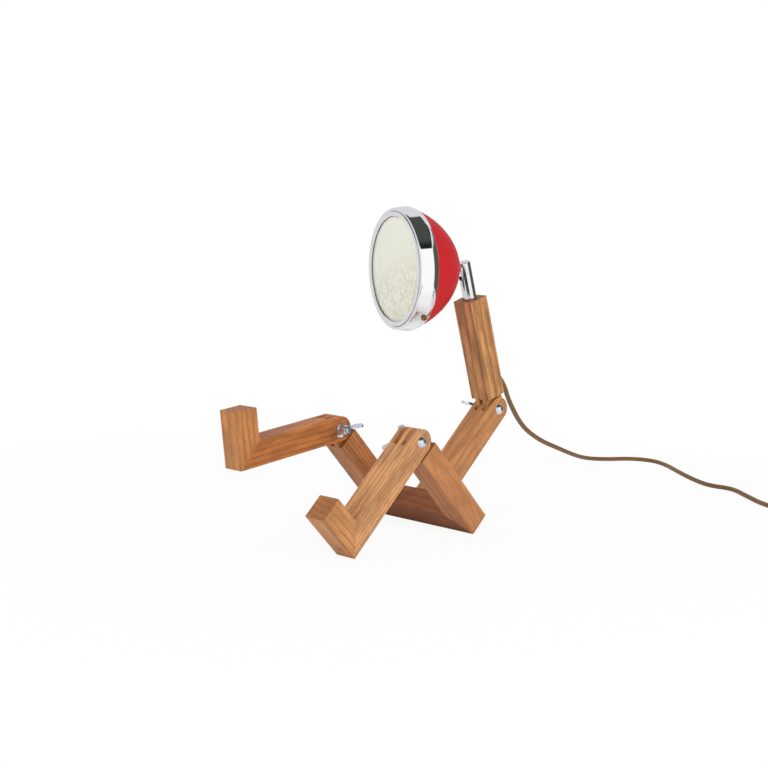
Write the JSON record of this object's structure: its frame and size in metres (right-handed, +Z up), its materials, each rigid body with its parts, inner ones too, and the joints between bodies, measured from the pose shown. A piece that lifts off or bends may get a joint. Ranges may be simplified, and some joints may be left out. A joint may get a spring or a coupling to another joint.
{
  "type": "robot shaped desk lamp",
  "caption": "Desk lamp shaped as a seated figure: square oak limbs on wing-nut pivots, a round headlamp head on a turning, tilting chrome neck, textile mains cord with switch and plug.",
  "frame": {"origin": "on the table, under the middle of the figure's own box, without its cord", "axes": "+Z up; the figure faces -Y; +X is the figure's left"},
  "size_m": [0.5024, 0.7982, 0.3583],
  "materials": {
    "oiled_oak": "oiled, straight grain along each beam",
    "dowel_wood": "plain beech",
    "zinc_steel": "bright zinc plate",
    "chrome": "polished chrome plate",
    "black_plastic": "matt moulded",
    "brown_plastic": "satin moulded",
    "red_enamel": "satin red stove enamel",
    "pressed_steel": "plain pressed sheet",
    "lens_glass": "pebbled pressed glass",
    "rubber": "matt",
    "bright_aluminium": "polished",
    "ceramic": "glazed",
    "bulb_glass": "clear",
    "brass": "nickel-free, bright",
    "lead_plastic": "smooth sleeve",
    "textile_cord": "braided brown textile"
  },
  "bodies": {
    "seat_frame": {"hip_bar": "oiled_oak", "left_thigh": "oiled_oak", "right_thigh": "oiled_oak", "lower_torso": "oiled_oak", "hip_corner_dowels": "dowel_wood", "torso_dowels": "dowel_wood", "waist_bolt": "zinc_steel", "waist_washer": "zinc_steel", "cord_hanging": "textile_cord", "cord_on_table": "textile_cord", "cord_coil": "textile_cord", "cord_switch_to_coil": "textile_cord", "cord_tail": "textile_cord", "switch_base": "brown_plastic", "switch_cover": "brown_plastic", "plug_body": "brown_plastic", "plug_pins": "brass"},
    "waist_nut": {"waist_wing_nut": "zinc_steel"},
    "left_leg": {"left_shin": "oiled_oak", "left_foot": "oiled_oak", "left_ankle_dowels": "dowel_wood", "left_ankle_screw": "zinc_steel", "left_sole_plug": "dowel_wood", "left_knee_bolt": "zinc_steel", "left_knee_washer": "zinc_steel"},
    "left_knee_nut": {"left_knee_wing_nut": "zinc_steel"},
    "right_leg": {"right_shin": "oiled_oak", "right_foot": "oiled_oak", "right_ankle_dowels": "dowel_wood", "right_ankle_screw": "zinc_steel", "right_sole_plug": "dowel_wood", "right_knee_bolt": "zinc_steel", "right_knee_washer": "zinc_steel"},
    "right_knee_nut": {"right_knee_wing_nut": "zinc_steel"},
    "upper_body": {"chest": "oiled_oak", "neck_bush": "black_plastic", "neck_grub_screw": "zinc_steel", "cord_gland": "brown_plastic", "chest_lead": "lead_plastic"},
    "neck": {"neck_post": "chrome", "neck_cap": "chrome", "tilt_pins": "zinc_steel", "neck_lead": "lead_plastic"},
    "head": {"tilt_tongue": "zinc_steel", "head_shell": "red_enamel", "shell_backplate": "pressed_steel", "shell_rivets": "red_enamel", "bezel": "chrome", "bezel_screw": "zinc_steel", "lens": "lens_glass", "lens_gasket": "rubber", "reflector": "bright_aluminium", "lamp_holder": "ceramic", "bulb_base": "ceramic", "bulb_glass": "bulb_glass", "head_lead": "lead_plastic"},
    "rocker": {"switch_rocker": "brown_plastic"}
  },
  "joints": [
    {"name": "left_knee", "type": "hinge", "parent": "seat_frame", "child": "left_leg", "pos_m": [0.0683, -0.03073, 0.11035], "axis": [1, 0, 0], "range_deg": [-90.6, 4.3]},
    {"name": "left_knee_nut_turn", "type": "hinge", "parent": "left_leg", "child": "left_knee_nut", "pos_m": [0.0453, -0.03073, 0.11035], "axis": [1, 0, 0], "continuous": true},
    {"name": "right_knee", "type": "hinge", "parent": "seat_frame", "child": "right_leg", "pos_m": [-0.0557, -0.03073, 0.11035], "axis": [1, 0, 0], "range_deg": [-54.2, 40.8]},
    {"name": "right_knee_nut_turn", "type": "hinge", "parent": "right_leg", "child": "right_knee_nut", "pos_m": [-0.0327, -0.03073, 0.11035], "axis": [1, 0, 0], "continuous": true},
    {"name": "waist", "type": "hinge", "parent": "seat_frame", "child": "upper_body", "pos_m": [0.0063, 0.16562, 0.12362], "axis": [1, 0, 0], "range_deg": [-84.3, 30.7], "deforming": ["cord_hanging"]},
    {"name": "waist_nut_turn", "type": "hinge", "parent": "seat_frame", "child": "waist_nut", "pos_m": [-0.0167, 0.16562, 0.12362], "axis": [1, 0, 0], "continuous": true},
    {"name": "neck_turn", "type": "hinge", "parent": "upper_body", "child": "neck", "pos_m": [0.0063, 0.12419, 0.25421], "axis": [0, -0.3024, 0.9532], "range_deg": [-100.1, 139.9]},
    {"name": "head_tilt", "type": "hinge", "parent": "neck", "child": "head", "pos_m": [0.0063, 0.11413, 0.28595], "axis": [0.9403, -0.3244, -0.1029], "range_deg": [-14, 25]},
    {"name": "rocker_press", "type": "hinge", "parent": "seat_frame", "child": "rocker", "pos_m": [0.30039, 0.38333, 0.011], "axis": [-0.6845, -0.729, 0], "range_deg": [0, 13]}
  ]
}
